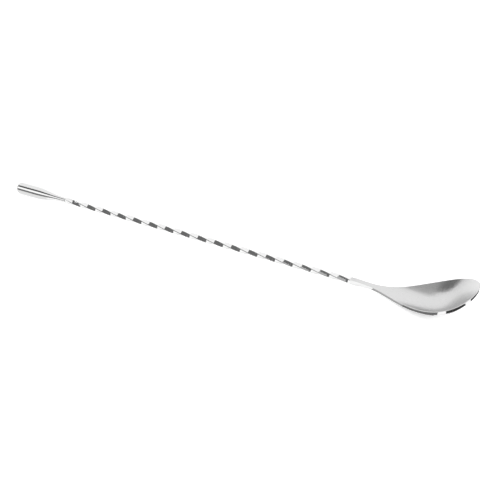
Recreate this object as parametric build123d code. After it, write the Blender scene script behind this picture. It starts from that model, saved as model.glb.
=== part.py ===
from build123d import *
from math import atan2, cos, degrees, pi, sqrt
import os

# Bar spoon: a teardrop bowl on a twisted square bar, with a bullet-shaped counterweight.
#
# Every piece is drawn about the bar's axis, with +X towards the bowl, +Z up and z = 0 on the axis. The
# joined spoon is then laid on a flat surface, on the side of its counterweight and the belly of its bowl.

# Driving dimensions, in millimetres.
overall_length = 305.0

bar_across_flats = 3.15
bar_corner_radius = 0.45
quarter_turn_length = 11.43     # length of bar that turns through 90 degrees
spigot_radius = 1.1             # turned-down end that sits in the counterweight
spigot_length = 9.0
head_spigot_radius = 0.95       # turned-down end that sits in the neck of the head
head_spigot_length = 6.0
socket_slack = 0.5              # room left past the end of each spigot

weight_radius = 4.1
weight_dome_length = 3.5
weight_land_length = 11.0       # the cylindrical stretch
weight_taper_length = 24.0
weight_throat_radius = 1.8      # the corners of the bar stand just proud of it

head_length = 70.5              # neck and bowl together
bowl_length = 61.5              # tip to the heel, where the neck starts to spread
bowl_half_width = 14.2
widest_from_tip = 15.8
bowl_depth = 7.8                # below the lip, where the bowl is widest
wall_curl = 0.35                # 0 gives a parabola across the bowl, 1 a flat floor with steep walls
neck_dip = 3.0                  # how far the lip sinks behind the neck
neck_dip_length = 35.0
tip_rise = 22.8                 # how far the lip climbs from there to the tip
tip_curl = 3.1                  # power of the climb: the higher, the nearer the tip it happens
bowl_thickness = 1.5
thinning_length = 17.0          # from the joint to where the head is down to sheet
lip_width = 0.5
hollow_run_out = 0.6            # height of the hollow's surface above the neck at the joint

half_bar = bar_across_flats / 2
tip_x = overall_length / 2
end_x = -overall_length / 2
heel_x = tip_x - bowl_length
widest_x = tip_x - widest_from_tip
head_x = tip_x - head_length
throat_x = end_x + weight_dome_length + weight_land_length + weight_taper_length
bar_length = head_x - throat_x


def smooth_step(t):
    """0 up to t = 0 and 1 from t = 1, with no slope at either."""
    t = min(max(t, 0.0), 1.0)
    return 0.5 - 0.5 * cos(pi * t)


# The bowl's shape. The plan outline and the lip's side view are given, and the inside is a hollow of one
# cross-section all along, let down just so far that it meets the lip at the outline.

def half_width(x):
    """Plan outline of the head: a bar, a flare from the heel to the widest point, and a half ellipse."""
    if x > widest_x:
        return bowl_half_width * sqrt(max(0.0, 1 - ((x - widest_x) / widest_from_tip) ** 2))
    return half_bar + (bowl_half_width - half_bar) * smooth_step((x - heel_x) / (widest_x - heel_x))


def hollow_width_squared(x):
    """Square of the hollow's half width, as a share of its widest; it goes negative beyond the tip."""
    if x > widest_x:
        return 1 - ((x - widest_x) / (widest_from_tip - lip_width)) ** 2
    return (max(0.0, half_width(x) - lip_width) / (bowl_half_width - lip_width)) ** 2


def hollow_rise(share_squared):
    """Height of the hollow's cross-section, at a squared share of its half width."""
    return bowl_depth * ((1 - wall_curl) * share_squared + wall_curl * share_squared * abs(share_squared))


def lip_height(x):
    """Side view of the lip: level with the top of the bar at the joint, dipping, and curling up to the tip."""
    dip = neck_dip * smooth_step((x - head_x) / neck_dip_length)
    return half_bar - dip + tip_rise * max(0.0, (x - head_x) / head_length) ** tip_curl


def lip_surface(x, y):
    """Height of the surface that the lip is ground to: level across the spoon, and level across the tip."""
    if x <= widest_x:
        return lip_height(x)
    along = (x - widest_x) / (widest_from_tip - lip_width)
    across = y / (bowl_half_width - lip_width)
    levelling = smooth_step(along) * (1 - along ** 2 - across ** 2) / 2
    return lip_height(x + (x - widest_x) * levelling)


def inside_height(x, y):
    """Height of the hollow's surface, which runs out above the neck so that the neck is flat on top."""
    across = (y / (bowl_half_width - lip_width)) ** 2
    run_out = hollow_run_out * (1 - smooth_step((x - head_x) / (heel_x + 6 - head_x)))
    return lip_height(x) + run_out - hollow_rise(hollow_width_squared(x)) + hollow_rise(across)


def thickness(x):
    """Depth below the hollow's surface: the full bar at the joint, thinning to sheet in the bowl."""
    at_joint = bar_across_flats + hollow_run_out
    return at_joint + (bowl_thickness - at_joint) * smooth_step((x - head_x) / thinning_length)


def underside_point(x, y):
    """Point of the lower surface, one thickness square below the upper surface at x, y."""
    step = 0.01
    slope_x = (inside_height(x + step, y) - inside_height(x - step, y)) / (2 * step)
    slope_y = (inside_height(x, y + step) - inside_height(x, y - step)) / (2 * step)
    drop = thickness(x) / sqrt(1 + slope_x ** 2 + slope_y ** 2)
    return (x + slope_x * drop, y + slope_y * drop, inside_height(x, y) - drop)


def solid_below(points):
    """Thick block hanging from the smooth surface through a grid of points."""
    surface = Face.make_surface_from_array_of_points(points, tol=0.004, min_deg=3, max_deg=5)
    return Solid.extrude(surface, Vector(0, 0, -60))


def stations(start, stop, count):
    return [start + (stop - start) * i / (count - 1) for i in range(count)]


def plan_block():
    """Upright block with the head's plan outline."""
    side = [(x, half_width(x)) for x in stations(head_x, widest_x, 13)]
    with BuildSketch(Plane.XY.offset(-30)) as outline:
        with BuildLine():
            flare = Spline(*side, tangents=[(1, 0), (1, 0)])
            mirror(flare, about=Plane.XZ)
            EllipticalCenterArc((widest_x, 0), widest_from_tip, bowl_half_width, start_angle=-90, arc_size=180)
            Line((head_x, -half_bar), (head_x, half_bar))
        make_face()
    return extrude(outline.sketch, amount=80).solid()


def spoon_head():
    """Neck and bowl in one piece, with a blind socket for the bar's spigot."""
    width = stations(-bowl_half_width - 3, bowl_half_width + 3, 25)
    length = stations(head_x - 4, tip_x + 3, 45)
    hollow = solid_below([[(x, y, inside_height(x, y)) for y in width] for x in length])
    lip = solid_below([[(x, y, lip_surface(x, y)) for y in width] for x in length])
    underside = solid_below([[underside_point(x, y) for y in width] for x in length])
    head = (hollow & lip & plan_block()) - underside
    socket = Cylinder(head_spigot_radius, head_spigot_length + socket_slack,
                      align=(Align.CENTER, Align.CENTER, Align.MIN))
    return head - Pos(head_x, 0, 0) * Rot(0, 90, 0) * socket


def bar_section(turn):
    """Square with rounded corners, in the plane across the bar at the counterweight, turned by some degrees."""
    plane = Plane((throat_x, 0, 0), x_dir=(0, 1, 0), z_dir=(1, 0, 0))
    with BuildSketch(plane) as section:
        RectangleRounded(bar_across_flats, bar_across_flats, bar_corner_radius, rotation=turn)
    return section.sketch.faces()[0]


def spigot(x, radius, length, outwards):
    """Turned pin along the bar's axis from x, with a small lead chamfer on its free end."""
    pin = Cylinder(radius, length, align=(Align.CENTER, Align.CENTER, Align.MIN))
    pin = chamfer(pin.edges().sort_by(Axis.Z)[-1], 0.2)
    return Pos(x, 0, 0) * Rot(0, 90 * outwards, 0) * pin


def twisted_bar():
    """Square bar twisted right-handed, ending square with the neck, with a spigot at each end."""
    total_turn = 90 * bar_length / quarter_turn_length
    bar = Solid.extrude_linear_with_rotation(
        bar_section(-total_turn), center=(throat_x, 0, 0), normal=(bar_length, 0, 0), angle=total_turn)
    bar += spigot(throat_x, spigot_radius, spigot_length, -1)
    return bar + spigot(head_x, head_spigot_radius, head_spigot_length, 1)


def counterweight():
    """Bullet turned about the bar's axis: dome, cylindrical land and a flowing taper down to the bar."""
    land_start = end_x + weight_dome_length
    land_end = land_start + weight_land_length
    quarter = 0.5523            # control length, as a share of the radius, that makes a Bezier a quarter round
    dome_control_x = land_start - weight_dome_length * quarter
    socket_end = throat_x - spigot_length - socket_slack
    with BuildSketch(Plane.XZ) as half_profile:
        with BuildLine():
            Bezier((end_x, 0), (end_x, weight_radius * quarter), (dome_control_x, weight_radius),
                   (land_start, weight_radius))
            Line((land_start, weight_radius), (land_end, weight_radius))
            Bezier((land_end, weight_radius), (land_end + weight_taper_length * 0.4, weight_radius),
                   (throat_x - weight_taper_length * 0.5, weight_throat_radius), (throat_x, weight_throat_radius))
            Polyline((throat_x, weight_throat_radius), (throat_x, spigot_radius), (socket_end, spigot_radius),
                     (socket_end, 0), (end_x, 0))
        make_face()
    return revolve(half_profile.sketch, Axis.X).solid()


def lowest(piece, tilt):
    """Height of the lowest point of a piece turned about Y."""
    return (Rot(0, tilt, 0) * piece).bounding_box().min.Z


def lying_tilt(pieces):
    """Turn about Y, in degrees, that brings bowl and counterweight down to one level."""
    tilt = 0.0
    for _ in range(4):
        gap = lowest(pieces["spoon_head"], tilt) - lowest(pieces["counterweight"], tilt)
        tilt += degrees(atan2(gap, overall_length))
    return tilt


def resting_place(pieces):
    """Placement that lays the spoon at z = 0 with its length centred on the origin."""
    turn = Rot(0, lying_tilt(pieces), 0)
    box = (turn * Compound(list(pieces.values()))).bounding_box()
    return Pos(-box.center().X, 0, -box.min.Z) * turn


def make_spoon():
    """The three pieces, joined end to end about the bar's axis."""
    return {
        "spoon_head": spoon_head(),
        "twisted_bar": twisted_bar(),
        "counterweight": counterweight(),
    }


if __name__ == "__main__":
    spoon = make_spoon()
    place = resting_place(spoon)
    os.makedirs("parts", exist_ok=True)
    for name, piece in spoon.items():
        export_step(place * piece, f"parts/{name}.step")
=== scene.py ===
from math import cos, radians, sin, tan

import bpy
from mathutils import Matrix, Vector


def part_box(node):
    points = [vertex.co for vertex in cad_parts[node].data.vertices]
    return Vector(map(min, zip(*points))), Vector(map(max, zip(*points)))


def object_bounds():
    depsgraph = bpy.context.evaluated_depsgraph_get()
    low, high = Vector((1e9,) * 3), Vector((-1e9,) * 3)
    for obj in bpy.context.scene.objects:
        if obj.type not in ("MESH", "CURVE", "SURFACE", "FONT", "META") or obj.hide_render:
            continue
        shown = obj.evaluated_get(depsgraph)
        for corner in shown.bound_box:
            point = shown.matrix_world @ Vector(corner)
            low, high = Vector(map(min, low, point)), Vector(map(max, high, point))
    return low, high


# Looks for the bar spoon: stainless steel on a pale floor, in soft white light.

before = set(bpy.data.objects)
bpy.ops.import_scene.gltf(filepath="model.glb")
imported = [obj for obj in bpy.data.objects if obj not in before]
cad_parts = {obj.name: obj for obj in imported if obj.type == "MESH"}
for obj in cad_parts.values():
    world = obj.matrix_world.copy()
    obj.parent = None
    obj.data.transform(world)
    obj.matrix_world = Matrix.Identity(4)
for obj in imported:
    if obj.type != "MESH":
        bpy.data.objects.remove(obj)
cad_low, cad_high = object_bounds()

length = cad_high.x - cad_low.x
weight_low, weight_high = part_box("counterweight")
axis_height = (weight_low.z + weight_high.z) / 2
bar_start = weight_high.x
head_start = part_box("spoon_head")[0].x


# Camera

camera_azimuth = 23.3
camera_elevation = 40.2
camera_distance = 1.492 * length
camera_lens = 54.07
camera_target = Vector((0.0595 * length, 0, 1.28 * axis_height))


def direction(azimuth, elevation):
    """Unit vector towards a place round the spoon: azimuth 0 is in front of it, 90 beyond the bowl."""
    a = radians(azimuth)
    e = radians(elevation)
    return Vector((sin(a) * cos(e), -cos(a) * cos(e), sin(e)))


def make_camera():
    data = bpy.data.cameras.new("camera")
    data.lens = camera_lens
    data.sensor_width = 36
    data.clip_start = 0.01
    data.clip_end = 50
    camera = bpy.data.objects.new("camera", data)
    back = direction(camera_azimuth, camera_elevation)
    camera.location = camera_target + back * camera_distance
    camera.rotation_mode = "QUATERNION"
    camera.rotation_quaternion = (-back).to_track_quat("-Z", "Y")
    bpy.context.scene.collection.objects.link(camera)
    bpy.context.scene.camera = camera


# Stage and light
#
# Polished steel shows little but what it mirrors, so its dark and pale bands come from cards that only the
# steel sees. A card's shade is the light that it gives off, and the white surroundings give white_light.

white_light = 1.6
floor_reach = 4
floor_card_height = 0.00005     # just clear of the floor
far = 1.15 * length
near = 0.1 * length
near_join = bar_start - 0.015   # the weight mirrors near cards up to here, and the bar those from here on
low_weight_edge = -0.09 * length
low_bar_edge = -0.033 * length

# Cards in front of the spoon and above it: start and end along the spoon, low and high elevation as seen
# from the bar, distance, and shade.
strip_cards = {
    "card_bar": (-3 * length, 0, 0, 72, far, 0.22),
    "card_bowl": (0, 2 * length, 0, 92, far, 0.7),
    "card_weight_light": (-length, near_join, 20, 50, near, white_light),
    "card_weight_dark": (-length, near_join, 50, 78, near, 0.15),
    "card_weight_top": (-length, near_join, 78, 150, near, 1.3),
    "card_bar_top": (near_join, head_start, 78, 150, near, 1.45),
}

# Cards that lie on the floor: start and end along the spoon, front and back edge, and shade. The bowl's lip
# mirrors the belly cards as a dark rim, with a white gap wherever there is no card.
floor_cards = {
    "card_under_weight": (-2 * length, near_join, low_weight_edge, -low_weight_edge, 1.2),
    "card_low_weight": (-2 * length, bar_start, -2 * length, low_weight_edge, 0.22),
    "card_low_bar": (bar_start, head_start, -2 * length, low_bar_edge, 0.22),
    "card_belly_1": (head_start + 0.012, head_start + 0.030, -0.3, -0.002, 0.6),
    "card_belly_2": (head_start + 0.030, head_start + 0.051, -0.3, -0.002, 0.25),
    "card_belly_3": (head_start + 0.060, head_start + 0.086, -0.3, -0.013, 0.06),
    "card_belly_4": (head_start + 0.045, head_start + 0.300, -0.003, 0.04, 0.06),
}


def stage_plane(name, low_x, high_x, low_y, high_y, material):
    """Flat rectangle in the object's own x and y."""
    mesh = bpy.data.meshes.new(name)
    corners = [(low_x, low_y, 0), (high_x, low_y, 0), (high_x, high_y, 0), (low_x, high_y, 0)]
    mesh.from_pydata(corners, [], [(0, 1, 2, 3)])
    mesh.materials.append(material)
    sheet = bpy.data.objects.new(name, mesh)
    bpy.context.scene.collection.objects.link(sheet)
    return sheet


def grey(shade):
    return (shade, shade, shade, 1)


def glow_material(name, shade):
    material = bpy.data.materials.new(name)
    material.use_nodes = True
    tree = material.node_tree
    tree.nodes.clear()
    glow = tree.nodes.new("ShaderNodeEmission")
    glow.inputs["Color"].default_value = grey(shade)
    output = tree.nodes.new("ShaderNodeOutputMaterial")
    tree.links.new(glow.outputs[0], output.inputs["Surface"])
    return material


def glowing_card(name, start, end, low_y, high_y, shade):
    """Card that the camera and the floor don't see, and that throws no shadow."""
    card = stage_plane(name, start, end, low_y, high_y, glow_material(name, shade))
    card.visible_camera = False
    card.visible_diffuse = False
    card.visible_shadow = False
    return card


def strip_card(name, start, end, low_elevation, high_elevation, distance, shade):
    middle = (low_elevation + high_elevation) / 2
    half_height = distance * tan(radians(high_elevation - middle))
    card = glowing_card(name, start, end, -half_height, half_height, shade)
    card.location = direction(0, middle) * distance + Vector((0, 0, axis_height))
    card.rotation_euler = (radians(90 - middle), 0, 0)


def floor_card(name, start, end, front, back, shade):
    card = glowing_card(name, start, end, front, back, shade)
    card.location.z = floor_card_height


def floor_material():
    """Pale and matt, with a little light of its own that leaves only the faintest shadow."""
    material = bpy.data.materials.new("floor")
    material.use_nodes = True
    shader = material.node_tree.nodes["Principled BSDF"]
    shader.inputs["Base Color"].default_value = grey(0.8)
    shader.inputs["Roughness"].default_value = 0.9
    shader.inputs["Specular IOR Level"].default_value = 0.1
    shader.inputs["Emission Color"].default_value = grey(1)
    shader.inputs["Emission Strength"].default_value = 0.4
    return material


def make_surroundings():
    stage_plane("floor", -floor_reach, floor_reach, -floor_reach, floor_reach, floor_material())
    world = bpy.data.worlds.new("studio")
    world.use_nodes = True
    background = world.node_tree.nodes["Background"]
    background.inputs["Color"].default_value = grey(1)
    background.inputs["Strength"].default_value = white_light
    bpy.context.scene.world = world
    bpy.context.scene.view_settings.view_transform = "Standard"


def make_cards():
    for name, card in strip_cards.items():
        strip_card(name, *card)
    for name, card in floor_cards.items():
        floor_card(name, *card)


# Materials

polished_shade = 0.62
polished_head_shade = 0.6
# Painted shade: the darker base colour given to the steel that looks up, inside the bowl and on top of the
# neck
satin_painted_shade = 0.47
grain_depth = 0.000002


def steel_material(name, shade):
    material = bpy.data.materials.new(name)
    material.use_nodes = True
    shader = material.node_tree.nodes["Principled BSDF"]
    shader.inputs["Base Color"].default_value = grey(shade)
    shader.inputs["Metallic"].default_value = 1
    return material, material.node_tree, shader


def streaks(tree, across, along, detail):
    """Noise drawn out along or across the spoon; across and along are its features per metre."""
    place = tree.nodes.new("ShaderNodeTexCoord")
    stretch = tree.nodes.new("ShaderNodeMapping")
    stretch.inputs["Scale"].default_value = (along, across, across)
    noise = tree.nodes.new("ShaderNodeTexNoise")
    noise.inputs["Scale"].default_value = 1
    noise.inputs["Detail"].default_value = detail
    tree.links.new(place.outputs["Object"], stretch.inputs["Vector"])
    tree.links.new(stretch.outputs["Vector"], noise.inputs["Vector"])
    return noise.outputs["Fac"]


def spread(tree, value, low, high):
    """The noise's middle range, spread between two limits."""
    limits = tree.nodes.new("ShaderNodeMapRange")
    limits.inputs["From Min"].default_value = 0.3
    limits.inputs["From Max"].default_value = 0.7
    limits.inputs["To Min"].default_value = low
    limits.inputs["To Max"].default_value = high
    tree.links.new(value, limits.inputs["Value"])
    return limits.outputs["Result"]


def ridges(tree, shader, value, depth):
    """Fine relief in the surface, depth metres high."""
    bump = tree.nodes.new("ShaderNodeBump")
    bump.inputs["Strength"].default_value = 1
    bump.inputs["Distance"].default_value = depth
    tree.links.new(value, bump.inputs["Height"])
    tree.links.new(bump.outputs["Normal"], shader.inputs["Normal"])


def facing_up(tree):
    """1 on the surfaces that look up, and 0 on the walls and on those that look down."""
    surface = tree.nodes.new("ShaderNodeNewGeometry")
    normal = tree.nodes.new("ShaderNodeSeparateXYZ")
    mask = tree.nodes.new("ShaderNodeMapRange")
    mask.inputs["From Min"].default_value = 0.1
    mask.inputs["From Max"].default_value = 0.2
    tree.links.new(surface.outputs["Normal"], normal.inputs["Vector"])
    tree.links.new(normal.outputs["Z"], mask.inputs["Value"])
    return mask.outputs["Result"]


def head_steel():
    """Satin inside the bowl and along the top of the neck, and polished elsewhere. The satin surfaces that
    look up also get a darker base colour, which is painted shade.
    """
    material, tree, shader = steel_material("head_steel", polished_head_shade)
    satin_and_painted_shade_mask = facing_up(tree)
    # Painted shade: the surfaces that look up get a darker base colour than the polished steel, while their
    # roughness is the real satin finish
    shade = tree.nodes.new("ShaderNodeMix")
    shade.data_type = "RGBA"
    shade.inputs["A"].default_value = grey(polished_head_shade)
    shade.inputs["B"].default_value = grey(satin_painted_shade)
    tree.links.new(satin_and_painted_shade_mask, shade.inputs["Factor"])
    tree.links.new(shade.outputs["Result"], shader.inputs["Base Color"])

    grain = streaks(tree, 2600, 260, 3)
    roughness = tree.nodes.new("ShaderNodeMix")
    roughness.inputs["A"].default_value = 0.08
    tree.links.new(satin_and_painted_shade_mask, roughness.inputs["Factor"])
    tree.links.new(spread(tree, grain, 0.26, 0.36), roughness.inputs["B"])
    tree.links.new(roughness.outputs["Result"], shader.inputs["Roughness"])
    ridges(tree, shader, grain, grain_depth)
    return material


def bar_steel():
    """Polished, with faint streaks left along the bar."""
    material, tree, shader = steel_material("bar_steel", polished_shade)
    lines = streaks(tree, 3000, 120, 2)
    tree.links.new(spread(tree, lines, 0.06, 0.13), shader.inputs["Roughness"])
    return material


def weight_steel():
    """Mirror polished, with faint rings left by turning."""
    material, tree, shader = steel_material("weight_steel", polished_shade)
    rings = streaks(tree, 20, 3000, 2)
    tree.links.new(spread(tree, rings, 0.05, 0.1), shader.inputs["Roughness"])
    return material


def dress():
    materials = {
        "spoon_head": head_steel(),
        "twisted_bar": bar_steel(),
        "counterweight": weight_steel(),
    }
    for node, material in materials.items():
        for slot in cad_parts[node].material_slots:
            slot.material = material


make_camera()
make_surroundings()
make_cards()
dress()
